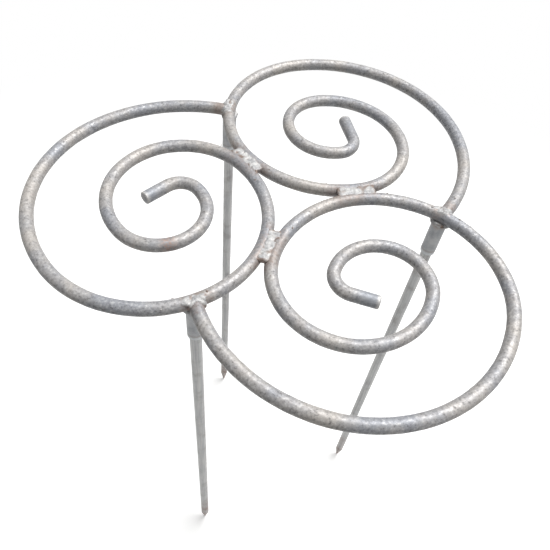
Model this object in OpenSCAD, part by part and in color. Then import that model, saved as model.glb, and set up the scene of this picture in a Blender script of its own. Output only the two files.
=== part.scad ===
// Plant support: three scrolls of round steel bar, welded into one flat head on three push-in legs.
// The origin is on the head's middle axis, at soil level, and the legs run on below it into the soil.

/* [Scroll bar] */
// Diameter of the round bar that the scrolls are bent from
bar_d = 10; // [8:0.5:12]
// Radius of the bend at the outer end, to the middle of the bar
outer_r = 120; // [112:1:140]
// Radius of the quarter turn after it
entry_r = 109; // [104:1:118]
// Radius of the half turn that touches the other scrolls
ring_r = 85; // [80:1:90]
// Radius of the second half turn
mid_r = 57; // [52:1:62]
// Radius of the third half turn
inner_r = 35; // [32:1:40]
// Radius of the quarter turn at the eye
eye_r = 16; // [13:0.5:19]
// Straight tail past the eye of the left scroll
left_tail = 21; // [12:1:34]
// Straight tail past the eye of the back scroll
back_tail = 25; // [12:1:34]
// Straight tail past the eye of the front scroll
front_tail = 20; // [12:1:34]
// Width of the worn edge round each cut inner end
cut_edge = 0.8; // [0.2:0.1:2]

/* [Head] */
// Turn from a ring's outermost point to the start of its half turn, in degrees
ring_phase = 32; // [31:1:40]
// Height of the middle of the bars above the soil
head_h = 380; // [250:5:600]

/* [Welds] */
// Space left between pieces before they are welded
root_gap = 0.3; // [0.1:0.1:0.6]
// Depth of the groove ground into each outer end
cope_depth = 1; // [0.5:0.1:2]
// Length of the bead where two rings touch
seam_len = 30; // [20:1:40]
// Radius of that bead's ripples at mid length
seam_bead_r = 3.2; // [2.6:0.1:4]
// Height of that bead's middle above the middle of the bars
seam_rise = 1.6; // [0:0.1:2]
// Radius of the ripples round an outer end
end_bead_r = 2.8; // [2.2:0.1:3.4]
// How far an end bead wraps down past the bar's sides, in degrees
end_wrap = 15; // [0:5:25]
// Radius of the ripples round the top of a socket
socket_bead_r = 2.2; // [1.6:0.1:2.6]

/* [Sockets] */
// Outside diameter of the sockets
socket_d = 12; // [11:0.5:15]
// Length of the sockets
socket_len = 35; // [33:1:50]
// Width of the lead-in round the mouth of a socket
mouth_edge = 0.3; // [0.1:0.1:0.3]

/* [Legs] */
// Diameter of the legs
leg_d = 9; // [8.8:0.1:10]
// Diameter of the spigot turned on the top of each leg
spigot_d = 7; // [6:0.1:7]
// Length of the spigot
spigot_len = 28; // [15:1:29]
// Width of the edge broken round the spigot's top and the shoulder under it
turned_edge = 0.3; // [0.1:0.1:0.4]
// Depth that the legs go into the soil
soil_depth = 120; // [60:5:200]
// Length of the point ground on each leg
point_len = 20; // [8:1:40]
// Width of the flat left on the point
point_flat_d = 2; // [1:0.5:4]
// Radial clearance of a spigot in its socket
fit_clear = 0.05; // [0.02:0.01:0.1]
// Gap between a leg's shoulder and the mouth of its socket
seat_gap = 0.1; // [0.05:0.05:0.3]

/* [Hidden] */
$fa = 4;
$fs = 0.5;
overrun = 1;
sides = ["left", "back", "front"];
pieces = ["scroll", "seam_weld", "end_weld", "socket", "socket_weld", "leg"];

steel = "#7d7573";
weld_metal = "#b4aca4";
socket_steel = "#6f706b";
leg_steel = "#84827d";

half_turn = 180;
quarter_turn = 90;
third_turn = 120;
turns = [0, -third_turn, third_turn];
tails = [left_tail, back_tail, front_tail];

bar_r = bar_d / 2;
socket_r = socket_d / 2;
bore_d = spigot_d + 2 * fit_clear;

// A bead is a row of ripples, each this share of a ripple's radius past the last
ripple_share = 0.7;
// A seam bead narrows by this share towards its ends
taper_share = 0.3;

// Point at distance r in direction a
function polar(r, a) = [r * cos(a), r * sin(a)];

// Direction of a flat vector
function way(v) = atan2(v.y, v.x);

// The left scroll's ring and the next one round, their bars a root gap apart where they touch
ring_out = (2 * ring_r + bar_d + root_gap) / (2 * sin(third_turn / 2));
ring_at = polar(ring_out, half_turn);
next_ring_at = polar(ring_out, half_turn - third_turn);

// The entry bend runs smoothly into the ring, and the outer bend into the entry bend
ring_start = half_turn + ring_phase;
entry_start = ring_start - quarter_turn;
entry_at = ring_at + polar(ring_r - entry_r, ring_start);
outer_at = entry_at + polar(entry_r - outer_r, entry_start);

// The outer bend ends on the next ring, so its end lies on two circles
land_r = ring_r + bar_r - cope_depth;
span = next_ring_at - outer_at;
end_turn = acos((outer_r ^ 2 + span * span - land_r ^ 2) / (2 * outer_r * norm(span)));
end_dir = way(span) + end_turn;
end_at = outer_at + polar(outer_r, end_dir);
end_heading = end_dir - quarter_turn;
outer_sweep = entry_start - end_dir;

// A leg stands under the next ring where the outer end lands on it
land_dir = way(end_at - next_ring_at);
leg_at = next_ring_at + polar(ring_r, land_dir);

// Bends of a scroll from the entry inwards, each with its radius and sweep
bends = [
    [entry_r, quarter_turn],
    [ring_r, half_turn],
    [mid_r, half_turn],
    [inner_r, half_turn],
    [eye_r, quarter_turn]
];

// Heights, from the bars down to the soil
socket_top = head_h - bar_r - root_gap;
mouth_z = socket_top - socket_len;
shoulder_z = mouth_z - seat_gap;

// Turns a piece of the left scroll round to the scroll it belongs to
module placed(i, z = 0) {
    rotate([0, 0, turns[i]]) translate([0, 0, z]) children();
}

// Bar bent to radius r, which passes through the origin along Y where its turn is zero
module bend(r, from, sweep, d = bar_d) {
    translate([-r, 0]) rotate_extrude(angle = sweep, start = from) translate([r, 0]) circle(d = d);
}

// Stands a piece that is drawn upright along a flat direction
module along(at, heading) {
    translate(at) rotate([0, quarter_turn, heading]) children();
}

// Square-cut end with its edge worn off
module cut_tail(len) {
    body_len = len - cut_edge;
    cylinder(d = bar_d, h = body_len);
    translate([0, 0, body_len]) cylinder(d1 = bar_d, d2 = bar_d - 2 * cut_edge, h = cut_edge);
}

// The bends from one on, each starting where the last one ends, and then the tail
module bends_from(b, tail) {
    if (b == len(bends)) {
        along([0, 0], quarter_turn) cut_tail(tail);
    } else {
        r = bends[b][0];
        sweep = bends[b][1];
        bend(r, 0, sweep);
        translate([-r, 0]) rotate([0, 0, sweep]) translate([r, 0]) bends_from(b + 1, tail);
    }
}

// One scroll, with its outer end fitted to the next ring
module scroll(i) {
    cope_sweep = 2 * asin(bar_d / ring_r);
    color(steel) placed(i, head_h) difference() {
        translate(entry_at) rotate([0, 0, entry_start]) translate([entry_r, 0]) {
            bend(outer_r, -outer_sweep, outer_sweep);
            bends_from(0, tails[i]);
        }
        translate(leg_at) rotate([0, 0, land_dir])
            bend(ring_r, -cope_sweep / 2, cope_sweep, bar_d + 2 * root_gap);
    }
}

// Bead along the groove where this scroll's ring touches the next one
module seam_weld(i) {
    steps = ceil(seam_len / (seam_bead_r * ripple_share) / 2);
    seam_dir = way(next_ring_at - ring_at) + quarter_turn;
    seam_at = (ring_at + next_ring_at) / 2;
    color(weld_metal) placed(i, head_h + seam_rise) along(seam_at, seam_dir) for (k = [-steps : steps]) {
        ripple_r = seam_bead_r * (1 - taper_share * (k / steps) ^ 2);
        reach = seam_len / 2 - seam_bead_r * (1 - taper_share);
        translate([0, 0, reach * k / steps]) sphere(r = ripple_r);
    }
}

// One ripple of a bead that runs round a bar or tube, its poles along the bead
module ripple(r) {
    rotate([quarter_turn, 0, 0]) sphere(r = r);
}

// Bead over the top and sides of an outer end, where it lands on the next ring
module end_weld(i) {
    wrap = quarter_turn + end_wrap;
    steps = ceil(wrap * PI / half_turn * bar_r / (end_bead_r * ripple_share));
    color(weld_metal) placed(i, head_h) along(end_at, end_heading) for (k = [-steps : steps]) {
        from_top = wrap * k / steps;
        into_groove = bar_r * (1 - abs(sin(from_top))) / 2;
        rotate([0, 0, half_turn + from_top]) translate([bar_r, 0, into_groove]) ripple(end_bead_r);
    }
}

// Short tube that takes the spigot of a leg
module socket(i) {
    mouth_d = bore_d + 2 * mouth_edge;
    color(socket_steel) placed(i, mouth_z) translate(leg_at) difference() {
        cylinder(d = socket_d, h = socket_len);
        translate([0, 0, -overrun]) cylinder(d = bore_d, h = socket_len + 2 * overrun);
        cylinder(d1 = mouth_d, d2 = bore_d, h = mouth_edge);
    }
}

// Bead round the top of a socket, against the bars over it
module socket_weld(i) {
    ripples = ceil(2 * PI * socket_r / (socket_bead_r * ripple_share));
    color(weld_metal) placed(i, socket_top) translate(leg_at) for (k = [1 : ripples])
        rotate([0, 0, 2 * half_turn * k / ripples]) translate([socket_r, 0]) ripple(socket_bead_r);
}

// Leg with a turned spigot above its shoulder and a ground point below
module leg(i) {
    shank_top = shoulder_z - turned_edge;
    shank_foot = point_len - soil_depth;
    spigot_top = shoulder_z + spigot_len - turned_edge;
    color(leg_steel) placed(i) translate(leg_at) {
        translate([0, 0, -soil_depth]) cylinder(d1 = point_flat_d, d2 = leg_d, h = point_len);
        translate([0, 0, shank_foot]) cylinder(d = leg_d, h = shank_top - shank_foot);
        translate([0, 0, shank_top]) cylinder(d1 = leg_d, d2 = leg_d - 2 * turned_edge, h = turned_edge);
        translate([0, 0, shoulder_z]) cylinder(d = spigot_d, h = spigot_top - shoulder_z);
        translate([0, 0, spigot_top]) cylinder(d1 = spigot_d, d2 = spigot_d - 2 * turned_edge, h = turned_edge);
    }
}

for (i = [0 : len(sides) - 1]) {
    scroll(i);
    seam_weld(i);
    end_weld(i);
    socket(i);
    socket_weld(i);
    leg(i);
}
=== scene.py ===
import math
import bpy
import bmesh
from mathutils import Matrix, Vector, noise


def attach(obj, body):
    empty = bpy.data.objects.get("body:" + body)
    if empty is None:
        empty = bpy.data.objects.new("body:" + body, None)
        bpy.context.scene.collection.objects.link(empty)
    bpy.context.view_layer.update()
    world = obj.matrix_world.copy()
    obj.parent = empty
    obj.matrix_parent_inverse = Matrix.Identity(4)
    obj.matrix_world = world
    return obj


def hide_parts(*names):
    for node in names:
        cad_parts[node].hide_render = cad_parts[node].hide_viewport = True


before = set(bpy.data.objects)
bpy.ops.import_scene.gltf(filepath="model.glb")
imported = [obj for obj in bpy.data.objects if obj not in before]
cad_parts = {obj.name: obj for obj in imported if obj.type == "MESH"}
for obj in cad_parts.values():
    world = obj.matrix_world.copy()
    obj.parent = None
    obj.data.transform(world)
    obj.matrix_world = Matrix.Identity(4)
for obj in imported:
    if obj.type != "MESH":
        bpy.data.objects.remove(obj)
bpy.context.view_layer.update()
print("frame loaded")

mm = 0.001
up = Vector((0, 0, 1))
halfTurn = 180
quarterTurn = 90
thirdTurn = 120
sideTurns = {"left": 0, "back": -thirdTurn, "front": thirdTurn}


def toLinear(hexText):
    parts = [int(hexText[k:k + 2], 16) / 255 for k in (1, 3, 5)]
    return [c / 12.92 if c <= 0.04045 else ((c + 0.055) / 1.055) ** 2.4 for c in parts] + [1]


# adds one node, with its settings, and its inputs set or linked
def addNode(tree, kind, inputs=None, **settings):
    node = tree.nodes.new(kind)
    for name, value in settings.items():
        setattr(node, name, value)
    for name, value in (inputs or {}).items():
        if isinstance(value, bpy.types.NodeSocket):
            tree.links.new(value, node.inputs[name])
        else:
            node.inputs[name].default_value = value
    return node


def newMaterial(name):
    material = bpy.data.materials.new(name)
    material.use_nodes = True
    tree = material.node_tree
    return material, tree, tree.nodes["Principled BSDF"]


# one cycle of a noise is about size millimetres
def perMetre(size):
    return 1 / (size * mm)


barFinish = {
    "coolSkin": "#9a9ca2", "warmSkin": "#b7b2ad", "blotchSize": 44,
    "worn": "#dcdbd8", "pitted": "#615f5e", "mottleSize": 3.0,
    "pitSize": 1.7,        # real pits are finer, and are drawn coarser so that they show
    "cleanTail": "#8d95a1", "wearAndHighlight": "#e0ddd9",
    "rust": "#7f6b61", "heatRust": 0.38,
    "streak": "#97684a",
    "reliefDepth": 0.2,
}


# hot-rolled mild steel bar, bent cold and left bare: cool grey skin with warmer blotches, pale where
# it is worn, dark in its pits, browner where the welds heated it, and pale at the sawn end, partly from wear
# and partly as a painted highlight
# finish holds weld heat in red, the clean tail in green, the pale sawn end (wear and a painted highlight) in
# blue and a rust streak in alpha
def hotRolledBareSteel():
    material, tree, shader = newMaterial("hotRolledBareSteel")
    place = addNode(tree, "ShaderNodeTexCoord").outputs["Object"]
    painted = addNode(tree, "ShaderNodeAttribute", attribute_name="finish").outputs
    finish = addNode(tree, "ShaderNodeSeparateColor", {"Color": painted["Color"]})
    blotch = addNode(tree, "ShaderNodeTexNoise", {
        "Vector": place, "Scale": perMetre(barFinish["blotchSize"]),
        "Detail": 5.0, "Roughness": 0.62}).outputs["Fac"]
    mottle = addNode(tree, "ShaderNodeTexNoise", {
        "Vector": place, "Scale": perMetre(barFinish["mottleSize"]),
        "Detail": 5.0, "Roughness": 0.7}).outputs["Fac"]
    pits = addNode(tree, "ShaderNodeTexNoise", {
        "Vector": place, "Scale": perMetre(barFinish["pitSize"]),
        "Detail": 3.0, "Roughness": 0.7}).outputs["Fac"]
    grit = addNode(tree, "ShaderNodeMix", {"Factor": 0.6, "A": mottle, "B": pits}).outputs["Result"]
    warmShare = addNode(tree, "ShaderNodeMapRange", {
        "Value": blotch, "From Min": 0.4, "From Max": 0.62}).outputs["Result"]
    skin = addNode(tree, "ShaderNodeMix", {
        "Factor": warmShare, "A": toLinear(barFinish["coolSkin"]), "B": toLinear(barFinish["warmSkin"])},
        data_type="RGBA")
    paleShare = addNode(tree, "ShaderNodeMapRange", {
        "Value": grit, "From Min": 0.52, "From Max": 0.64, "To Min": 0.0, "To Max": 0.6}).outputs["Result"]
    worn = addNode(tree, "ShaderNodeMix", {
        "Factor": paleShare, "A": skin.outputs["Result"], "B": toLinear(barFinish["worn"])},
        data_type="RGBA")
    darkShare = addNode(tree, "ShaderNodeMapRange", {
        "Value": grit, "From Min": 0.48, "From Max": 0.36, "To Min": 0.0, "To Max": 0.8}).outputs["Result"]
    flecked = addNode(tree, "ShaderNodeMix", {
        "Factor": darkShare, "A": worn.outputs["Result"], "B": toLinear(barFinish["pitted"])},
        data_type="RGBA")
    cleaned = addNode(tree, "ShaderNodeMix", {
        "Factor": finish.outputs["Green"], "A": flecked.outputs["Result"],
        "B": toLinear(barFinish["cleanTail"])}, data_type="RGBA")
    rustSeed = addNode(tree, "ShaderNodeMath", {0: blotch, 1: mottle}, operation="ADD").outputs["Value"]
    heatRust = addNode(tree, "ShaderNodeMath", {
        0: finish.outputs["Red"], 1: barFinish["heatRust"], 2: rustSeed},
        operation="MULTIPLY_ADD").outputs["Value"]
    rustShare = addNode(tree, "ShaderNodeMapRange", {
        "Value": heatRust, "From Min": 1.2, "From Max": 1.5, "To Min": 0.0, "To Max": 0.65}).outputs["Result"]
    rusted = addNode(tree, "ShaderNodeMix", {
        "Factor": rustShare, "A": cleaned.outputs["Result"], "B": toLinear(barFinish["rust"])},
        data_type="RGBA")
    streakBreaks = addNode(tree, "ShaderNodeMapRange", {
        "Value": pits, "From Min": 0.4, "From Max": 0.6}).outputs["Result"]
    streakShare = addNode(tree, "ShaderNodeMath", {
        0: painted["Alpha"], 1: streakBreaks}, operation="MULTIPLY").outputs["Value"]
    streaked = addNode(tree, "ShaderNodeMix", {
        "Factor": streakShare, "A": rusted.outputs["Result"], "B": toLinear(barFinish["streak"])},
        data_type="RGBA")
    # the sawn end is painted pale: partly worn steel, partly a painted highlight on its edge and face
    wearAndHighlightBreakup = addNode(tree, "ShaderNodeMapRange", {
        "Value": mottle, "From Min": 0.35, "From Max": 0.6, "To Min": 0.4, "To Max": 1.0}).outputs["Result"]
    wearAndHighlightShare = addNode(tree, "ShaderNodeMath", {
        0: finish.outputs["Blue"], 1: wearAndHighlightBreakup}, operation="MULTIPLY").outputs["Value"]
    wearAndHighlight = addNode(tree, "ShaderNodeMix", {
        "Factor": wearAndHighlightShare, "A": streaked.outputs["Result"], "B": toLinear(barFinish["wearAndHighlight"])},
        data_type="RGBA")
    tree.links.new(wearAndHighlight.outputs["Result"], shader.inputs["Base Color"])
    rough = addNode(tree, "ShaderNodeMapRange", {
        "Value": mottle, "From Min": 0.3, "From Max": 0.7, "To Min": 0.56, "To Max": 0.4}).outputs["Result"]
    tree.links.new(rough, shader.inputs["Roughness"])
    bright = addNode(tree, "ShaderNodeMapRange", {
        "Value": grit, "From Min": 0.42, "From Max": 0.62, "To Min": 0.14, "To Max": 0.28}).outputs["Result"]
    tree.links.new(bright, shader.inputs["Metallic"])
    relief = addNode(tree, "ShaderNodeMath", {
        0: mottle, 1: 0.6, 2: pits}, operation="MULTIPLY_ADD").outputs["Value"]
    bump = addNode(tree, "ShaderNodeBump", {
        "Height": relief, "Strength": 0.35, "Distance": barFinish["reliefDepth"] * mm})
    tree.links.new(bump.outputs["Normal"], shader.inputs["Normal"])
    return material


weldFinish = {
    "dull": "#a5a5a6", "bright": "#d0cfcd", "lumpSize": 5,
    "grime": "#6f6863", "slag": "#7a665b",
    "grainSize": 1.2,      # real grain is finer, and is drawn coarser so that it shows
    "reliefDepth": 0.35,
}


# arc weld metal as laid: pale dull grey, grimy in its grain, with brown slag in the pits and at the toes
# finish holds the slag in red
def arcWeldMetal():
    material, tree, shader = newMaterial("arcWeldMetal")
    place = addNode(tree, "ShaderNodeTexCoord").outputs["Object"]
    finish = addNode(tree, "ShaderNodeSeparateColor", {
        "Color": addNode(tree, "ShaderNodeAttribute", attribute_name="finish").outputs["Color"]})
    lumps = addNode(tree, "ShaderNodeTexNoise", {
        "Vector": place, "Scale": perMetre(weldFinish["lumpSize"]),
        "Detail": 4.0, "Roughness": 0.65}).outputs["Fac"]
    grain = addNode(tree, "ShaderNodeTexNoise", {
        "Vector": place, "Scale": perMetre(weldFinish["grainSize"]),
        "Detail": 4.0, "Roughness": 0.7}).outputs["Fac"]
    brightShare = addNode(tree, "ShaderNodeMapRange", {
        "Value": lumps, "From Min": 0.4, "From Max": 0.64}).outputs["Result"]
    metal = addNode(tree, "ShaderNodeMix", {
        "Factor": brightShare, "A": toLinear(weldFinish["dull"]), "B": toLinear(weldFinish["bright"])},
        data_type="RGBA")
    grimeShare = addNode(tree, "ShaderNodeMapRange", {
        "Value": grain, "From Min": 0.45, "From Max": 0.3, "To Min": 0.0, "To Max": 0.75}).outputs["Result"]
    grimy = addNode(tree, "ShaderNodeMix", {
        "Factor": grimeShare, "A": metal.outputs["Result"], "B": toLinear(weldFinish["grime"])},
        data_type="RGBA")
    slag = addNode(tree, "ShaderNodeMath", {
        0: finish.outputs["Red"], 1: lumps}, operation="ADD").outputs["Value"]
    slagShare = addNode(tree, "ShaderNodeMapRange", {
        "Value": slag, "From Min": 0.76, "From Max": 1.4, "To Min": 0.0, "To Max": 0.85}).outputs["Result"]
    browned = addNode(tree, "ShaderNodeMix", {
        "Factor": slagShare, "A": grimy.outputs["Result"], "B": toLinear(weldFinish["slag"])},
        data_type="RGBA")
    tree.links.new(browned.outputs["Result"], shader.inputs["Base Color"])
    rough = addNode(tree, "ShaderNodeMapRange", {
        "Value": grain, "From Min": 0.3, "From Max": 0.7, "To Min": 0.68, "To Max": 0.46}).outputs["Result"]
    tree.links.new(rough, shader.inputs["Roughness"])
    shader.inputs["Metallic"].default_value = 0.3
    bump = addNode(tree, "ShaderNodeBump", {
        "Height": grain, "Strength": 0.5, "Distance": weldFinish["reliefDepth"] * mm})
    tree.links.new(bump.outputs["Normal"], shader.inputs["Normal"])
    return material


tubeFinish = {
    "dull": "#a2a4a8", "light": "#bfc0c1", "cloudSize": 9,
    # the pale lip colour is a painted highlight along the socket's lip
    "fleck": "#c6c8c6", "tinge": "#94847b", "paintedLipHighlight": "#d6d9db",
    "fleckSize": 1.8,      # real flecks are finer, and are drawn coarser so that they show
    "reliefDepth": 0.2,
}


# seamed steel tube, bare: cloudy grey with lighter flecks, a brown tinge near the weld, a thin dark line
# above the lip, and a painted highlight along the lip as a pale band
# finish holds the tinge and the dark line in red, and the painted lip highlight in blue
def seamedTubeSteel():
    material, tree, shader = newMaterial("seamedTubeSteel")
    place = addNode(tree, "ShaderNodeTexCoord").outputs["Object"]
    finish = addNode(tree, "ShaderNodeSeparateColor", {
        "Color": addNode(tree, "ShaderNodeAttribute", attribute_name="finish").outputs["Color"]})
    cloud = addNode(tree, "ShaderNodeTexNoise", {
        "Vector": place, "Scale": perMetre(tubeFinish["cloudSize"]),
        "Detail": 4.0, "Roughness": 0.62}).outputs["Fac"]
    fleck = addNode(tree, "ShaderNodeTexNoise", {
        "Vector": place, "Scale": perMetre(tubeFinish["fleckSize"]),
        "Detail": 4.0, "Roughness": 0.7}).outputs["Fac"]
    cloudShare = addNode(tree, "ShaderNodeMapRange", {
        "Value": cloud, "From Min": 0.36, "From Max": 0.64}).outputs["Result"]
    skin = addNode(tree, "ShaderNodeMix", {
        "Factor": cloudShare, "A": toLinear(tubeFinish["dull"]), "B": toLinear(tubeFinish["light"])},
        data_type="RGBA")
    fleckShare = addNode(tree, "ShaderNodeMapRange", {
        "Value": fleck, "From Min": 0.52, "From Max": 0.72, "To Min": 0.0, "To Max": 0.6}).outputs["Result"]
    flecked = addNode(tree, "ShaderNodeMix", {
        "Factor": fleckShare, "A": skin.outputs["Result"], "B": toLinear(tubeFinish["fleck"])},
        data_type="RGBA")
    tinge = addNode(tree, "ShaderNodeMath", {
        0: finish.outputs["Red"], 1: cloud}, operation="ADD").outputs["Value"]
    tingeShare = addNode(tree, "ShaderNodeMapRange", {
        "Value": tinge, "From Min": 0.75, "From Max": 1.4, "To Min": 0.0, "To Max": 0.75}).outputs["Result"]
    tinged = addNode(tree, "ShaderNodeMix", {
        "Factor": tingeShare, "A": flecked.outputs["Result"], "B": toLinear(tubeFinish["tinge"])},
        data_type="RGBA")
    # painted highlight along the lip, as a pale band
    paintedLipHighlight = addNode(tree, "ShaderNodeMix", {
        "Factor": finish.outputs["Blue"], "A": tinged.outputs["Result"],
        "B": toLinear(tubeFinish["paintedLipHighlight"])}, data_type="RGBA")
    tree.links.new(paintedLipHighlight.outputs["Result"], shader.inputs["Base Color"])
    rough = addNode(tree, "ShaderNodeMapRange", {
        "Value": fleck, "From Min": 0.3, "From Max": 0.7, "To Min": 0.6, "To Max": 0.42}).outputs["Result"]
    tree.links.new(rough, shader.inputs["Roughness"])
    shader.inputs["Metallic"].default_value = 0.45
    bump = addNode(tree, "ShaderNodeBump", {
        "Height": fleck, "Strength": 0.3, "Distance": tubeFinish["reliefDepth"] * mm})
    tree.links.new(bump.outputs["Normal"], shader.inputs["Normal"])
    return material


rodFinish = {
    "lineDark": "#a4a5a7", "lineLight": "#c0c0be",
    "lineSize": 1.2,       # real draw lines are finer, and are drawn coarser so that they show
    "lineStretch": 0.03,   # share left of the pattern along the rod, so that it runs out into lines
    "cloud": "#857f7b", "cloudSize": 14,
    "rust": "#85675a",
    "reliefDepth": 0.12,
}


# cold-drawn round rod, bare: lengthwise draw lines, smoother and shinier than the bent bar,
# with rust creeping up from the point
# finish holds the rust in red
def drawnRodSteel():
    material, tree, shader = newMaterial("drawnRodSteel")
    place = addNode(tree, "ShaderNodeTexCoord").outputs["Object"]
    stretched = addNode(tree, "ShaderNodeMapping", {
        "Vector": place, "Scale": (1, 1, rodFinish["lineStretch"])}).outputs["Vector"]
    finish = addNode(tree, "ShaderNodeSeparateColor", {
        "Color": addNode(tree, "ShaderNodeAttribute", attribute_name="finish").outputs["Color"]})
    drawLines = addNode(tree, "ShaderNodeTexNoise", {
        "Vector": stretched, "Scale": perMetre(rodFinish["lineSize"]),
        "Detail": 3.0, "Roughness": 0.6}).outputs["Fac"]
    cloud = addNode(tree, "ShaderNodeTexNoise", {
        "Vector": place, "Scale": perMetre(rodFinish["cloudSize"]),
        "Detail": 5.0, "Roughness": 0.66}).outputs["Fac"]
    lineShare = addNode(tree, "ShaderNodeMapRange", {
        "Value": drawLines, "From Min": 0.35, "From Max": 0.65}).outputs["Result"]
    skin = addNode(tree, "ShaderNodeMix", {
        "Factor": lineShare, "A": toLinear(rodFinish["lineDark"]), "B": toLinear(rodFinish["lineLight"])},
        data_type="RGBA")
    cloudShare = addNode(tree, "ShaderNodeMapRange", {
        "Value": cloud, "From Min": 0.52, "From Max": 0.7, "To Min": 0.0, "To Max": 0.5}).outputs["Result"]
    cloudy = addNode(tree, "ShaderNodeMix", {
        "Factor": cloudShare, "A": skin.outputs["Result"], "B": toLinear(rodFinish["cloud"])},
        data_type="RGBA")
    creep = addNode(tree, "ShaderNodeMath", {
        0: finish.outputs["Red"], 1: cloud}, operation="ADD").outputs["Value"]
    creepShare = addNode(tree, "ShaderNodeMapRange", {
        "Value": creep, "From Min": 0.8, "From Max": 1.4, "To Min": 0.0, "To Max": 0.7}).outputs["Result"]
    rusted = addNode(tree, "ShaderNodeMix", {
        "Factor": creepShare, "A": cloudy.outputs["Result"], "B": toLinear(rodFinish["rust"])},
        data_type="RGBA")
    tree.links.new(rusted.outputs["Result"], shader.inputs["Base Color"])
    rough = addNode(tree, "ShaderNodeMapRange", {
        "Value": cloud, "From Min": 0.3, "From Max": 0.7, "To Min": 0.34, "To Max": 0.52}).outputs["Result"]
    tree.links.new(rough, shader.inputs["Roughness"])
    shader.inputs["Metallic"].default_value = 0.55
    bump = addNode(tree, "ShaderNodeBump", {
        "Height": drawLines, "Strength": 0.2, "Distance": rodFinish["reliefDepth"] * mm})
    tree.links.new(bump.outputs["Normal"], shader.inputs["Normal"])
    return material


barSteel = hotRolledBareSteel()
weldMetal = arcWeldMetal()
tubeSteel = seamedTubeSteel()
rodSteel = drawnRodSteel()
print("materials made")

# where the bends lie, for the left scroll: the others are the same, turned round the middle
head = {
    "barDia": 10, "outerRadius": 120, "entryRadius": 109, "ringRadius": 85,
    "midRadius": 57, "innerRadius": 35, "eyeRadius": 16,
    "ringPhase": 32, "height": 380, "rootGap": 0.3, "copeDepth": 1,
}
barRadius = head["barDia"] / 2


def polar(radius, angle):
    a = math.radians(angle)
    return Vector((radius * math.cos(a), radius * math.sin(a), 0))


def wayOf(v):
    return math.degrees(math.atan2(v.y, v.x))


# the three rings touch, so their middles make an even triangle
ringSpacing = 2 * head["ringRadius"] + head["barDia"] + head["rootGap"]
ringOut = ringSpacing / (2 * math.sin(math.radians(thirdTurn / 2)))
ringAt = polar(ringOut, halfTurn)
nextRingAt = polar(ringOut, halfTurn - thirdTurn)
ringStart = halfTurn + head["ringPhase"]
entryStart = ringStart - quarterTurn
entryAt = ringAt + polar(head["ringRadius"] - head["entryRadius"], ringStart)
outerAt = entryAt + polar(head["entryRadius"] - head["outerRadius"], entryStart)

# the outer bend runs on until it lands on the next ring, and a leg stands under that place
landRadius = head["ringRadius"] + barRadius - head["copeDepth"]
span = nextRingAt - outerAt
endTurn = math.degrees(math.acos((head["outerRadius"] ** 2 + span.length_squared - landRadius ** 2)
                                 / (2 * head["outerRadius"] * span.length)))
endDir = wayOf(span) + endTurn
endAt = outerAt + polar(head["outerRadius"], endDir)
endHeading = polar(1, endDir - quarterTurn)
landWay = wayOf(endAt - nextRingAt)
legAt = nextRingAt + polar(head["ringRadius"], landWay)
seamAt = (ringAt + nextRingAt) / 2
seamWay = polar(1, wayOf(nextRingAt - ringAt) + quarterTurn)


# turns a left-hand piece, drawn in millimetres, to its own side and up to its height
def finishPiece(bm, side, name, node, material, body="head", height=head["height"]):
    turn = Matrix.Rotation(math.radians(sideTurns[side]), 4, "Z")
    bm.transform(Matrix.Scale(mm, 4) @ turn @ Matrix.Translation((0, 0, height)))
    bmesh.ops.recalc_face_normals(bm, faces=bm.faces[:])
    for face in bm.faces:
        face.smooth = True
    mesh = bpy.data.meshes.new(name + side.capitalize())
    bm.to_mesh(mesh)
    bm.free()
    mesh.materials.append(material)
    piece = bpy.data.objects.new(name + side.capitalize(), mesh)
    bpy.context.scene.collection.objects.link(piece)
    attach(piece, body)
    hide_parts(node + "_" + side)


def edgesOf(geometry):
    return [g for g in geometry if isinstance(g, bmesh.types.BMEdge)]


def vertsOf(geometry):
    return [g for g in geometry if isinstance(g, bmesh.types.BMVert)]


# frame with its Z along a direction and its Y as near up as it goes
def facing(at, direction):
    z = direction.normalized()
    upright = abs(z.z) > 0.99
    x = Vector((1, 0, 0)) if upright else up.cross(z).normalized()
    return Matrix.Translation(at) @ Matrix((x, z.cross(x), z)).transposed().to_4x4()


# pushes a loop of edges out into a new loop, still in the same place
def pushLoop(bm, loop):
    made = bmesh.ops.extrude_edge_only(bm, edges=loop)["geom"]
    newVerts = vertsOf(made)
    newLoop = [e for e in edgesOf(made) if e.verts[0] in newVerts and e.verts[1] in newVerts]
    return newLoop, newVerts


def closeLoop(bm, loop):
    made = bmesh.ops.contextual_create(bm, geom=loop)
    bmesh.ops.poke(bm, faces=made["faces"])


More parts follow.
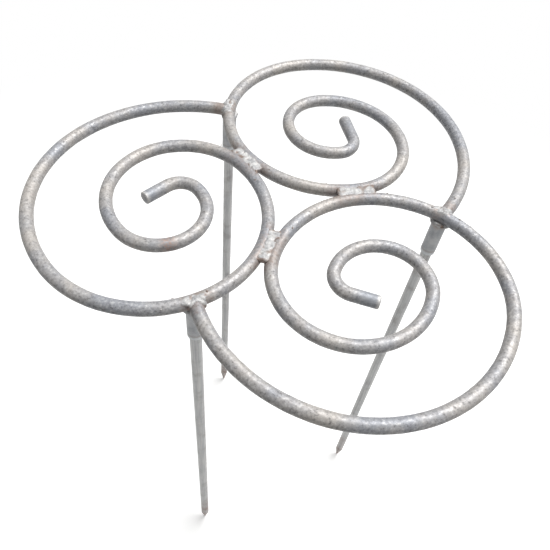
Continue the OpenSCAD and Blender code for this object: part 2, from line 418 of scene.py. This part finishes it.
scroll = {
    "tail": {"left": 21, "back": 25, "front": 20},            # straight length past the eye
    "cutEdge": {"left": 0.8, "back": 0.8, "front": 1.5},      # worn edge round the sawn end
    "faceWearAndHighlight": {"left": 0.15, "back": 0.5, "front": 0.7},    # how pale the sawn face is: partly wear, partly a painted highlight
    "cleanTail": {"left": 0.6, "back": 0.15, "front": 0.6},   # how bare and blue the tail is
    "cleanLength": 21, "cleanFade": 14,
    "wearAndHighlightBand": 1.7,      # pale band next to the worn edge: partly wear, partly a painted highlight
    "facets": 40,          # round the bar
    "stepLength": 1.7,     # along the bar
    "leastSteps": 6,       # in one bend
    "edgeSegments": 4,
    "faceRings": 4, "faceRingWidth": 0.75, "faceSlack": 0.2, "faceDepth": 0.3, "faceHeat": 0.4,
    "dentDepth": 0.13, "dentSize": 16,
    "scaleDepth": 0.05, "scaleSize": 3.2,
    "scaleNoise": (0.9, 2.1, 3),      # falloff, lacunarity and octaves
    "sawDepth": 0.06, "sawMargin": 0.9,
    "sawRate": 5,          # radians of saw mark to a millimetre
    "rustStreak": {"left": (-95.8, -31.7, 0)}, "streakReach": 7, "streakStrength": 0.8,
    "hotSeam": 12,         # half the length that a seam weld heats
    "heatCore": 6, "heatFade": 8,
}

# places of all the welds, as the left scroll's frame sees them
weldSpots = []
for turn in (0, thirdTurn, 2 * thirdTurn):
    spin = Matrix.Rotation(math.radians(turn), 3, "Z")
    weldSpots.append((spin @ seamAt, spin @ seamWay, spin @ endAt))


# distance from a point on the left scroll, in millimetres, to the nearest weld
def weldDistance(p):
    distances = []
    for middle, way, end in weldSpots:
        reach = max(-scroll["hotSeam"], min(scroll["hotSeam"], (p - middle).dot(way)))
        distances += [(p - middle - way * reach).length, (p - end).length]
    return min(distances)


# bends one stretch of bar on from the loop it has reached
def bendOn(bm, loop, centre, radius, angle):
    sweep = math.radians(angle)
    steps = max(scroll["leastSteps"], round(sweep * radius / scroll["stepLength"]))
    made = bmesh.ops.spin(bm, geom=loop, cent=centre, axis=up, angle=sweep, steps=steps)
    return edgesOf(made["geom_last"])


def makeScroll(side):
    bm = bmesh.new()
    layer = bm.verts.layers.float_color.new("finish")
    startWay = -endHeading
    bmesh.ops.create_circle(bm, cap_ends=False, segments=scroll["facets"], radius=barRadius,
                            matrix=facing(endAt, startWay))
    firstVerts = bm.verts[:]
    loop = bendOn(bm, bm.edges[:], outerAt, head["outerRadius"], entryStart - endDir)
    loop = bendOn(bm, loop, entryAt, head["entryRadius"], quarterTurn)
    loop = bendOn(bm, loop, ringAt, head["ringRadius"], halfTurn)
    centre = ringAt
    radius = head["ringRadius"]
    angle = ringStart
    for name, sweep in (("midRadius", halfTurn), ("innerRadius", halfTurn), ("eyeRadius", quarterTurn)):
        beforeEye = set(bm.verts)    # as it stands when the eye, the last of these bends, starts
        angle += halfTurn
        centre = centre + polar(radius - head[name], angle)
        radius = head[name]
        loop = bendOn(bm, loop, centre, radius, sweep)

    tailWay = polar(1, angle + halfTurn)
    tail = scroll["tail"][side]
    steps = round(tail / scroll["stepLength"])
    for k in range(steps):
        loop, tipVerts = pushLoop(bm, loop)
        bmesh.ops.translate(bm, verts=tipVerts, vec=tailWay * (tail / steps))
    tip = sum((v.co for v in tipVerts), Vector()) / len(tipVerts)
    bmesh.ops.contextual_create(bm, geom=loop)
    cutEdge = scroll["cutEdge"][side]
    bmesh.ops.bevel(bm, geom=loop, offset=cutEdge, affect="EDGES", segments=scroll["edgeSegments"],
                    profile=0.5, material=-1, clamp_overlap=True)
    sawnFace = max(bm.faces, key=lambda f: len(f.verts))
    for k in range(scroll["faceRings"]):
        bmesh.ops.inset_region(bm, faces=[sawnFace], thickness=scroll["faceRingWidth"])
    bmesh.ops.poke(bm, faces=[sawnFace])
    tailVerts = set(bm.verts) - beforeEye

    # the outer end is ground to sit on the next ring
    for v in firstVerts:
        offset = v.co - nextRingAt
        flat = Vector((offset.x, offset.y, 0))
        reach = math.sqrt(max((barRadius + head["rootGap"]) ** 2 - v.co.z ** 2, 0))
        target = nextRingAt + flat.normalized() * (head["ringRadius"] + reach)
        v.co += startWay * (target - Vector((v.co.x, v.co.y, 0))).dot(startWay)
    closeLoop(bm, [e for e in bm.edges if e.is_boundary])

    bm.normal_update()
    seed = Vector((sideTurns[side], 7, 3))
    streakAt = scroll["rustStreak"].get(side)
    for v in bm.verts:
        streak = 0
        if streakAt:
            fromStreak = (v.co - Vector(streakAt)).length
            streak = scroll["streakStrength"] * math.exp(-(fromStreak / scroll["streakReach"]) ** 4)
        along = (v.co - tip).dot(tailWay)
        onFace = v in tailVerts and abs(along) < scroll["faceSlack"]
        if onFace and (v.co - tip).length < barRadius - scroll["sawMargin"]:
            v.co += tailWay * math.sin(v.co.z * scroll["sawRate"] + v.co.x) * scroll["sawDepth"]
        else:
            dent = noise.noise(v.co / scroll["dentSize"] + seed) * scroll["dentDepth"]
            scale = noise.fractal(v.co / scroll["scaleSize"] + seed, *scroll["scaleNoise"])
            v.co += v.normal * (dent + scale * scroll["scaleDepth"])
        heat = math.exp(-(max(weldDistance(v.co) - scroll["heatCore"], 0) / scroll["heatFade"]) ** 2)
        clean = 0
        # pale sawn end: partly wear, partly a painted highlight on the worn edge and the face
        wearAndHighlight = 0
        if v in tailVerts:
            clean = min(1, max(0, (scroll["cleanLength"] + along) / scroll["cleanFade"]))
            clean *= scroll["cleanTail"][side]
            fromAxis = (v.co - tip - tailWay * along).length
            nearEdge = along > -cutEdge - scroll["wearAndHighlightBand"]
            if nearEdge and fromAxis > barRadius - cutEdge - scroll["faceSlack"]:
                wearAndHighlight = 1 - max(0, -along - cutEdge) / scroll["wearAndHighlightBand"]
            elif along > -scroll["faceDepth"]:
                heat = scroll["faceHeat"]
                wearAndHighlight = scroll["faceWearAndHighlight"][side]
        v[layer] = (heat, clean, wearAndHighlight, streak)
    finishPiece(bm, side, "scroll", "scroll", barSteel)


for side in sideTurns:
    makeScroll(side)
print("scrolls bent")


# lays weld metal along a row of frames: each one's X and Y scale the section there
def layBead(bm, rows, facets, squareness):
    bmesh.ops.create_circle(bm, cap_ends=False, segments=facets, radius=1)
    ring = bm.verts[-facets:]
    firstLoop = bm.edges[-facets:]
    for v in ring:
        v.co = Vector((math.copysign(abs(v.co.x) ** squareness, v.co.x),
                       math.copysign(abs(v.co.y) ** squareness, v.co.y), 0))
    bmesh.ops.transform(bm, matrix=rows[0], verts=ring)
    loop = firstLoop
    for before, row in zip(rows, rows[1:]):
        loop, made = pushLoop(bm, loop)
        bmesh.ops.transform(bm, matrix=row @ before.inverted(), verts=made)
    return firstLoop, loop


# how far a bead has come up from its end, from next to nothing to its full size
def swellIn(distance, length):
    leastArea = 0.03
    return math.sqrt(max(1 - max(0, 1 - distance / length) ** 2, leastArea))


# unevenness along a bead, with a size in millimetres: the last two numbers keep the draws apart
def waver(distance, size, second, third):
    return noise.noise(Vector((distance / size, second, third)))


spatter = {"width": 0.8, "height": 0.55, "sunk": 0.05}


# a number that runs round and round a range, so that drops are spread about
def spread(k, startStepRange):
    start, step, size = startStepRange
    return start + step * k % size


# a drop of spatter that stuck to a bar, so many degrees up from the bar's side
def addDrop(bm, barMiddle, outward, angle, radius):
    a = math.radians(angle)
    normal = (up * math.sin(a) + outward * math.cos(a)).normalized()
    at = barMiddle + normal * (barRadius - spatter["sunk"])
    squash = Matrix.Diagonal((1, spatter["width"], spatter["height"], 1))
    bmesh.ops.create_icosphere(bm, subdivisions=2, radius=radius, matrix=facing(at, normal) @ squash)


beadSkin = {
    "pitFrom": 0.25, "pitSlag": 1.5, "stainFrom": 0.12, "stainSize": 4.7, "grainSize": 1.3,
    "grainNoise": (0.9, 2.0, 3),           # falloff, lacunarity and octaves
}


# lumps, pits and grain of the laid metal, brown in the pits, in a few stains and at the toe
# the draw, like the shifts up in it, only keeps the noises apart
def roughenBead(bm, side, draw, bead, toeOf):
    layer = bm.verts.layers.float_color.new("finish")
    bm.normal_update()
    seed = Vector((sideTurns[side], *draw))
    for v in bm.verts:
        p = v.co + seed
        pit = max(0, noise.noise(p / bead["pitSize"] + up * 9) - beadSkin["pitFrom"])
        stain = max(0, noise.noise(p / beadSkin["stainSize"] + up * 4) - beadSkin["stainFrom"])
        slag = toeOf(v.co) + beadSkin["pitSlag"] * pit + bead["stain"][side] * stain
        v[layer] = (min(1, slag), 0, 0, 1)
        lump = noise.noise(p / bead["lumpSize"]) * bead["lump"]
        grain = noise.fractal(p / beadSkin["grainSize"], *beadSkin["grainNoise"]) * bead["grain"]
        v.co += v.normal * (lump - pit * bead["pit"] + grain)


seamBead = {
    "length": 30, "halfWidth": 4.9, "middle": 2.9, "rise": 2.15,
    "endLength": 2.6, "endRise": 0.3,      # share of the rise left at the ends
    "rootDepth": 0.6,
    "wander": 0.9, "wanderSize": 7,
    "uneven": 0.2, "unevenSize": 4, "broadSize": 11,
    "drawnOut": 1.4, "ragged": 4.2, "raggedRate": 1.3,
    "lump": 0.65, "lumpSize": 4.2, "grain": 0.11, "pit": 2.2, "pitSize": 2.9,
    "stain": {"left": 1.8, "back": 1.8, "front": 2.4}, "toeSlag": 0.6, "endSlag": 0.7,
    "rows": 100, "facets": 40, "squareness": 0.58,
    "drops": 9, "dropSizes": (0.35, 0.41, 0.47, 0.53),
    "dropReach": (14, 3.1, 13), "dropAngle": (30, 47, 120),   # start, step and range
}


# fill between two rings, level with their crowns and wider where they part
def makeSeamWeld(side):
    bm = bmesh.new()
    turn = sideTurns[side]
    half = seamBead["length"] / 2
    across = seamWay.cross(up)
    rows = []
    for k in range(seamBead["rows"] + 1):
        s = -half + seamBead["length"] * k / seamBead["rows"]
        size = swellIn(half - abs(s), seamBead["endLength"])
        drift = waver(s, seamBead["wanderSize"], turn, 5) * seamBead["wander"]
        parted = s * s / (2 * head["ringRadius"])
        uneven = waver(s, seamBead["unevenSize"], 2, turn) + waver(s, seamBead["broadSize"], 8, turn)
        width = (seamBead["halfWidth"] + parted) * size * (1 + seamBead["uneven"] * uneven)
        rise = seamBead["rise"] * (seamBead["endRise"] + (1 - seamBead["endRise"]) * size)
        at = seamAt + seamWay * s + across * drift + up * seamBead["middle"]
        rows.append(facing(at, seamWay) @ Matrix.Diagonal((width, rise, 1, 1)))
    for loop in layBead(bm, rows, seamBead["facets"], seamBead["squareness"]):
        closeLoop(bm, loop)
    # the root goes down into the groove, and the ends are drawn out along the bars
    for v in bm.verts:
        off = v.co - seamAt
        edge = off.dot(across) / seamBead["halfWidth"]
        lengthwise = off.dot(seamWay) / half
        tear = noise.noise(Vector((edge * seamBead["raggedRate"], lengthwise, turn + 0.7)))
        ragged = seamBead["drawnOut"] + seamBead["ragged"] * tear
        v.co += seamWay * ragged * edge * edge * lengthwise
        if v.co.z < seamBead["middle"]:
            v.co.z -= (seamBead["middle"] - v.co.z) * seamBead["rootDepth"] * max(0, 1 - abs(edge))
    for k in range(seamBead["drops"]):
        reach = spread(k, seamBead["dropReach"]) * (-1 if k % 2 else 1)
        ring = ringAt if k % 3 else nextRingAt
        outward = polar(1, wayOf(seamAt - ring) + math.degrees(reach / head["ringRadius"]))
        barMiddle = ring + outward * head["ringRadius"]
        radius = seamBead["dropSizes"][k % len(seamBead["dropSizes"])]
        addDrop(bm, barMiddle, outward, spread(k, seamBead["dropAngle"]), radius)

    def toeOf(p):
        toe = abs((p - seamAt).dot(across)) / seamBead["halfWidth"]
        end = abs((p - seamAt).dot(seamWay)) / half
        return min(1, toe ** 4 * seamBead["toeSlag"] + end ** 6 * seamBead["endSlag"])
    roughenBead(bm, side, (3, 1), seamBead, toeOf)
    finishPiece(bm, side, "seamWeld", "seam_weld", weldMetal)


endBead = {
    "radius": 2.7, "tallness": 1.15,
    "wrap": 104,                           # degrees down from the top, on either side
    "topDrop": 1.8, "sideDrop": 0.8,       # how deep its middle lies under the bar's skin
    "endRows": 7, "swell": 0.3, "swellSize": 4.3,
    "rows": 84, "facets": 28, "squareness": 0.95,
    "smearLength": 21, "smearHalfWidth": 3.8, "smearMiddle": 3.0, "smearRise": 2.4, "smearOut": 1.2,
    "smearSwell": 0.8, "smearEndRise": 0.4, "smearUneven": 0.25, "smearUnevenSize": 3.7,
    "smearRows": 60, "smearFacets": 32, "smearSquareness": 0.7,
    "lump": 1.0, "lumpSize": 3.6, "grain": 0.1, "pit": 2.3, "pitSize": 2.6,
    # the left end weld's stain is kept light so that it shows paler, partly as a painted highlight on it
    "stain": {"left": 0.7, "back": 1.2, "front": 3.2},
    "backSlag": 0.6, "backReach": 3.2, "underSlag": 0.4, "underTop": 3, "underDepth": 6, "runOutSlag": 0.45,
    "drops": 12, "dropSizes": (0.35, 0.42, 0.49, 0.56, 0.63),
    "dropBack": (6, 2.3, 11), "dropReach": (9, 3.7, 14), "dropAngle": (20, 53, 140),   # start, step and range
}


# fills the corner round an outer end, and runs out along the crown of the ring that it lands on
def makeEndWeld(side):
    bm = bmesh.new()
    turn = sideTurns[side]
    across = endHeading.cross(up)
    count = endBead["rows"]
    path = []
    for k in range(count + 1):
        wrap = math.radians(-endBead["wrap"] + 2 * endBead["wrap"] * k / count)
        inward = barRadius * (1 - abs(math.sin(wrap))) / 2
        drop = endBead["sideDrop"] + (endBead["topDrop"] - endBead["sideDrop"]) * max(0, math.cos(wrap)) ** 2
        outward = up * math.cos(wrap) + across * math.sin(wrap)
        path.append(endAt + endHeading * inward + outward * (barRadius - drop))
    rows = []
    run = 0
    for k in range(count + 1):
        before = path[max(k - 1, 0)]
        after = path[min(k + 1, count)]
        run += (path[k] - before).length
        size = endBead["radius"] * swellIn(min(k, count - k), endBead["endRows"])
        size *= 1 + endBead["swell"] * waver(run, endBead["swellSize"], turn + 0.4, 9)
        z = (after - before).normalized()
        x = endHeading.cross(z).normalized()
        rows.append(Matrix.Translation(path[k]) @ Matrix((x, z.cross(x), z)).transposed().to_4x4()
                    @ Matrix.Diagonal((size, size * endBead["tallness"], 1, 1)))
    for loop in layBead(bm, rows, endBead["facets"], endBead["squareness"]):
        closeLoop(bm, loop)

    smear = []
    half = endBead["smearLength"] / 2
    for k in range(endBead["smearRows"] + 1):
        s = half * (2 * k / endBead["smearRows"] - 1)
        outward = polar(1, landWay + math.degrees(s / head["ringRadius"]))
        size = swellIn(half - abs(s), half * endBead["smearSwell"])
        size *= 1 + endBead["smearUneven"] * waver(s, endBead["smearUnevenSize"], turn, 2.5)
        rise = endBead["smearRise"] * (endBead["smearEndRise"] + (1 - endBead["smearEndRise"]) * size)
        at = nextRingAt + outward * (head["ringRadius"] + endBead["smearOut"]) + up * endBead["smearMiddle"]
        smear.append(facing(at, up.cross(outward))
                     @ Matrix.Diagonal((endBead["smearHalfWidth"] * size, rise, 1, 1)))
    for loop in layBead(bm, smear, endBead["smearFacets"], endBead["smearSquareness"]):
        closeLoop(bm, loop)

    for k in range(endBead["drops"]):
        if k % 3 == 0:
            barMiddle = endAt - endHeading * spread(k, endBead["dropBack"])
            outward = across
        else:
            reach = spread(k, endBead["dropReach"]) * (-1 if k % 2 else 1)
            outward = polar(1, landWay + math.degrees(reach / head["ringRadius"]))
            barMiddle = nextRingAt + outward * head["ringRadius"]
        radius = endBead["dropSizes"][k % len(endBead["dropSizes"])]
        addDrop(bm, barMiddle, outward, spread(k, endBead["dropAngle"]), radius)

    def toeOf(p):
        off = p - endAt
        behind = min(1, max(0, -off.dot(endHeading)) / endBead["backReach"]) ** 2
        under = max(0, endBead["underTop"] - p.z) / endBead["underDepth"]
        runOut = min(1, abs(off.dot(across)) / half) ** 4
        return behind * endBead["backSlag"] + under * endBead["underSlag"] + runOut * endBead["runOutSlag"]
    roughenBead(bm, side, (11, 4), endBead, toeOf)
    finishPiece(bm, side, "endWeld", "end_weld", weldMetal)


socket = {
    "outerDia": 12, "boreDia": 7.1, "length": 35, "mouthEdge": 0.3, "lipEdge": 0.35, "lipSegments": 3,
    "seamHeight": 0.16, "seamWidth": 1.1, "seamTurn": 205,
    "dent": 0.09, "dentSize": 7,
    "tingeLength": 11,                     # browned below the weld
    "paintedLipHighlightHeight": 3.4, "paintedLipHighlight": 0.75,   # painted highlight along the lip, as a pale band
    "darkLineHeight": 4.2, "darkLineWidth": 1.1, "darkLine": 0.7,   # a thin dark brown line just above that band
    "facets": 64,
}
socketTop = -barRadius - head["rootGap"]
socketBead = {
    "radius": 1.9, "drawIn": 1.0, "lift": 1.0, "liftFrom": 0.3, "swell": 0.25, "swellRate": 2.2,
    "lump": 0.55, "lumpSize": 3.1, "grain": 0.1, "pit": 1.2, "pitSize": 2.4,
    "stain": {"left": 1.4, "back": 1.4, "front": 1.4}, "toeSlag": 0.7, "toeDepth": 2.2,
    "rows": 104, "facets": 22, "squareness": 0.95,
}


# runs round the rim of a socket, and climbs to the bar on either side of it
def makeSocketWeld(side):
    bm = bmesh.new()
    ringWay = math.radians(landWay + quarterTurn)
    rows = []
    for k in range(socketBead["rows"]):
        turn = 2 * math.pi * k / socketBead["rows"]
        beside = math.sin(turn - ringWay) ** 2
        outward = Vector((math.cos(turn), math.sin(turn), 0))
        swell = noise.noise(outward * socketBead["swellRate"] + up * sideTurns[side])
        size = socketBead["radius"] * (1 + socketBead["swell"] * swell)
        at = legAt + outward * (socket["outerDia"] / 2 - socketBead["drawIn"] * beside)
        at += up * (socketTop + socketBead["lift"] * (beside - socketBead["liftFrom"]))
        rows.append(Matrix.Translation(at) @ Matrix((outward, up, outward.cross(up))).transposed().to_4x4()
                    @ Matrix.Diagonal((size, size, 1, 1)))
    first, last = layBead(bm, rows, socketBead["facets"], socketBead["squareness"])
    bmesh.ops.bridge_loops(bm, edges=first + last)

    def toeOf(p):
        return max(0, socketTop - p.z) / socketBead["toeDepth"] * socketBead["toeSlag"]
    roughenBead(bm, side, (21, 8), socketBead, toeOf)
    finishPiece(bm, side, "socketWeld", "socket_weld", weldMetal)


for side in sideTurns:
    makeSeamWeld(side)
    makeEndWeld(side)
    makeSocketWeld(side)
print("welds laid")

lathe = {"longEdge": 4, "rowHeight": 2.2, "mergeDistance": 1e-4, "sharpAngle": 0.5}


def fromLegAxis(v):
    return (v.co - legAt).xy.length


# turns a half profile, given as radius and height, round the leg's axis
def turnProfile(bm, points, closed, facets):
    verts = [bm.verts.new((legAt.x + r, legAt.y, z)) for r, z in points]
    edges = [bm.edges.new(pair) for pair in zip(verts, verts[1:])]
    if closed:
        edges.append(bm.edges.new((verts[-1], verts[0])))
    for e in edges:
        if e.calc_length() > lathe["longEdge"]:
            cuts = int(e.calc_length() / lathe["rowHeight"])
            bmesh.ops.subdivide_edges(bm, edges=[e], cuts=cuts)
    bmesh.ops.spin(bm, geom=bm.verts[:] + bm.edges[:], cent=(legAt.x, legAt.y, 0), axis=up,
                   angle=2 * math.pi, steps=facets, use_merge=True)
    bmesh.ops.remove_doubles(bm, verts=bm.verts[:], dist=lathe["mergeDistance"])
    bmesh.ops.recalc_face_normals(bm, faces=bm.faces[:])


# rounds the sharp rims of a turned piece
def roundRims(bm, offset, segments, wanted):
    rims = [e for e in bm.edges if e.calc_face_angle() > lathe["sharpAngle"] and wanted(e)]
    bmesh.ops.bevel(bm, geom=rims, offset=offset, affect="EDGES", segments=segments, profile=0.5,
                    material=-1, clamp_overlap=True)


def makeSocket(side):
    bm = bmesh.new()
    r = socket["outerDia"] / 2
    bore = socket["boreDia"] / 2
    wallMiddle = (r + bore) / 2
    lip = socketTop - socket["length"]
    turnProfile(bm, [(bore + socket["mouthEdge"], lip), (r, lip), (r, socketTop), (bore, socketTop),
                     (bore, lip + socket["mouthEdge"])], True, socket["facets"])
    roundRims(bm, socket["lipEdge"], socket["lipSegments"],
              lambda e: fromLegAxis(e.verts[0]) > wallMiddle)
    layer = bm.verts.layers.float_color.new("finish")
    bm.normal_update()
    seed = Vector((sideTurns[side], 0, 0))
    for v in bm.verts:
        off = v.co - legAt
        if fromLegAxis(v) > wallMiddle:
            turn = math.atan2(off.y, off.x) - math.radians(socket["seamTurn"])
            fromSeam = ((turn + math.pi) % (2 * math.pi) - math.pi) * r
            ridge = socket["seamHeight"] * math.exp(-(fromSeam / socket["seamWidth"]) ** 2)
            dent = noise.noise(v.co / socket["dentSize"] + seed) * socket["dent"]
            v.co += v.normal * (ridge + dent)
        nearWeld = max(0, 1 - (socketTop - v.co.z) / socket["tingeLength"]) ** 2
        height = v.co.z - lip
        # a thin dark brown line just above the pale lip band
        darkLine = math.exp(-((height - socket["darkLineHeight"]) / socket["darkLineWidth"]) ** 2) * socket["darkLine"]
        # the pale band at the lip is a painted highlight
        paintedLipHighlight = max(0, 1 - (height / socket["paintedLipHighlightHeight"]) ** 4) * socket["paintedLipHighlight"]
        v[layer] = (min(1, nearWeld + darkLine), 0, paintedLipHighlight, 1)
    finishPiece(bm, side, "socket", "socket", tubeSteel)


leg = {
    "dia": 9, "spigotDia": 7, "spigotLength": 28, "turnedEdge": 0.3, "seatGap": 0.1,
    "soilDepth": 120, "pointLength": 20, "pointFlat": 2, "tipEdge": 0.25, "tipSegments": 2,
    "flats": 4, "flatDepth": 0.22, "flatRunOut": 3,    # left by grinding the point
    "wobble": 0.05, "wobbleSize": 6, "wobbleLength": 40,
    "soilRust": 0.55, "soilRustDepth": 60, "tipRust": 0.35, "tipRustLength": 40,
    "facets": 48,
}


def makeLeg(side):
    bm = bmesh.new()
    r = leg["dia"] / 2
    spigot = leg["spigotDia"] / 2
    edge = leg["turnedEdge"]
    shoulder = head["height"] + socketTop - socket["length"] - leg["seatGap"]
    top = shoulder + leg["spigotLength"]
    tip = -leg["soilDepth"]
    pointTop = tip + leg["pointLength"]
    turnProfile(bm, [(0, tip), (leg["pointFlat"] / 2, tip), (r, pointTop), (r, shoulder - edge),
                     (r - edge, shoulder), (spigot, shoulder), (spigot, top - edge),
                     (spigot - edge, top), (0, top)], False, leg["facets"])
    roundRims(bm, leg["tipEdge"], leg["tipSegments"],
              lambda e: max(v.co.z for v in e.verts) < tip + leg["tipEdge"])
    layer = bm.verts.layers.float_color.new("finish")
    bm.normal_update()
    for v in bm.verts:
        off = v.co - legAt
        if v.co.z < shoulder - 2 * edge:
            downPoint = min(1, max(0, (pointTop + leg["flatRunOut"] - v.co.z) / leg["pointLength"]))
            onFlat = 0.5 - 0.5 * math.cos(leg["flats"] * math.atan2(off.y, off.x) + sideTurns[side])
            wobble = noise.noise(Vector((v.co.x / leg["wobbleSize"], v.co.y / leg["wobbleSize"],
                                         v.co.z / leg["wobbleLength"]))) * leg["wobble"]
            outward = Vector((off.x, off.y, 0)).normalized()
            v.co += outward * (wobble - leg["flatDepth"] * downPoint * onFlat)
        soil = max(0, min(1, -v.co.z / leg["soilRustDepth"])) * leg["soilRust"]
        nearTip = max(0, 1 - (v.co.z - tip) / leg["tipRustLength"]) * leg["tipRust"]
        v[layer] = (soil + nearTip, 0, 0, 1)
    finishPiece(bm, side, "leg", "leg", rodSteel, body="leg_" + side, height=0)


for side in sideTurns:
    makeSocket(side)
    makeLeg(side)
print("sockets and legs turned")

room = {
    "floorSize": 12, "floorHeight": -120.5,
    "floorWhite": "#fdfdfc", "floorBounce": "#50504e", "floorGlow": 0.28,
    "whiteFrom": 0.5, "whiteTo": 1.0,      # metres from the middle, over which the floor goes plain white
    "skyLight": 0.16,
    "lampPower": 222, "lampSize": 3.6, "lampAt": (1.7, 0.75, 3.93), "lampAim": (0, 0, 0.3),
}


# 1 for what the camera, a mirror or glass sees, 0 for the light that a surface throws on others
def seenDirectly(tree):
    path = addNode(tree, "ShaderNodeLightPath")
    mirrored = addNode(tree, "ShaderNodeMath", {
        0: path.outputs["Is Glossy Ray"], 1: path.outputs["Is Transmission Ray"]}, operation="MAXIMUM")
    return addNode(tree, "ShaderNodeMath", {
        0: path.outputs["Is Camera Ray"], 1: mirrored.outputs["Value"]}, operation="MAXIMUM").outputs["Value"]


# matt floor paint: white to the eye, shaded only near the object, and darker to the light it throws back up
def paleFloorPaint():
    material, tree, shader = newMaterial("paleFloorPaint")
    seen = seenDirectly(tree)
    shade = addNode(tree, "ShaderNodeMix", {
        "Factor": seen, "A": toLinear(room["floorBounce"]), "B": toLinear(room["floorWhite"])},
        data_type="RGBA")
    tree.links.new(shade.outputs["Result"], shader.inputs["Base Color"])
    glow = addNode(tree, "ShaderNodeMath", {
        0: seen, 1: room["floorGlow"]}, operation="MULTIPLY").outputs["Value"]
    tree.links.new(glow, shader.inputs["Emission Strength"])
    shader.inputs["Emission Color"].default_value = (1, 1, 1, 1)
    shader.inputs["Roughness"].default_value = 0.9
    shader.inputs["Specular IOR Level"].default_value = 0.1
    place = addNode(tree, "ShaderNodeTexCoord").outputs["Object"]
    reach = addNode(tree, "ShaderNodeVectorMath", {0: place}, operation="LENGTH").outputs["Value"]
    far = addNode(tree, "ShaderNodeMapRange", {
        "Value": reach, "From Min": room["whiteFrom"], "From Max": room["whiteTo"]},
        interpolation_type="SMOOTHSTEP").outputs["Result"]
    farSeen = addNode(tree, "ShaderNodeMath", {0: far, 1: seen}, operation="MULTIPLY").outputs["Value"]
    white = addNode(tree, "ShaderNodeEmission", {"Color": (1, 1, 1, 1), "Strength": 1.0}).outputs["Emission"]
    surface = addNode(tree, "ShaderNodeMixShader", {0: farSeen, 1: shader.outputs["BSDF"], 2: white})
    tree.links.new(surface.outputs["Shader"], tree.nodes["Material Output"].inputs["Surface"])
    return material


bm = bmesh.new()
bmesh.ops.create_grid(bm, x_segments=4, y_segments=4, size=room["floorSize"],
                      matrix=Matrix.Translation((0, 0, room["floorHeight"] * mm)))
floorMesh = bpy.data.meshes.new("floor")
bm.to_mesh(floorMesh)
bm.free()
floorMesh.materials.append(paleFloorPaint())
floor = bpy.data.objects.new("floor", floorMesh)
bpy.context.scene.collection.objects.link(floor)

world = bpy.data.worlds.new("softSky")
bpy.context.scene.world = world
world.use_nodes = True
sky = world.node_tree.nodes["Background"]
skyStrength = addNode(world.node_tree, "ShaderNodeMix", {
    "Factor": seenDirectly(world.node_tree), "A": room["skyLight"], "B": 1.0})
world.node_tree.links.new(skyStrength.outputs["Result"], sky.inputs["Strength"])
sky.inputs["Color"].default_value = (1, 1, 1, 1)
lampData = bpy.data.lights.new("overheadSoftbox", "AREA")
lampData.shape = "DISK"
lampData.size = room["lampSize"]
lampData.energy = room["lampPower"]
lamp = bpy.data.objects.new("overheadSoftbox", lampData)
lamp.location = room["lampAt"]
lamp.rotation_euler = (Vector(room["lampAim"]) - lamp.location).to_track_quat("-Z", "Y").to_euler()
bpy.context.scene.collection.objects.link(lamp)

# stands where the photograph was taken from: millimetres, degrees, and millimetres of lens
camera = {"at": (-99.9, -304.7, 701.0), "turn": (37.37, -4.538, -11.43), "lens": 38.43, "sensor": 36}
cameraData = bpy.data.cameras.new("photoCamera")
cameraData.sensor_width = camera["sensor"]
cameraData.lens = camera["lens"]
cameraData.clip_start = 0.01
cameraObject = bpy.data.objects.new("photoCamera", cameraData)
cameraObject.location = Vector(camera["at"]) * mm
cameraObject.rotation_euler = [math.radians(a) for a in camera["turn"]]
bpy.context.scene.collection.objects.link(cameraObject)
bpy.context.scene.camera = cameraObject
bpy.context.scene.view_settings.view_transform = "Standard"
print("room, light and camera set")

bpy.context.view_layer.update()
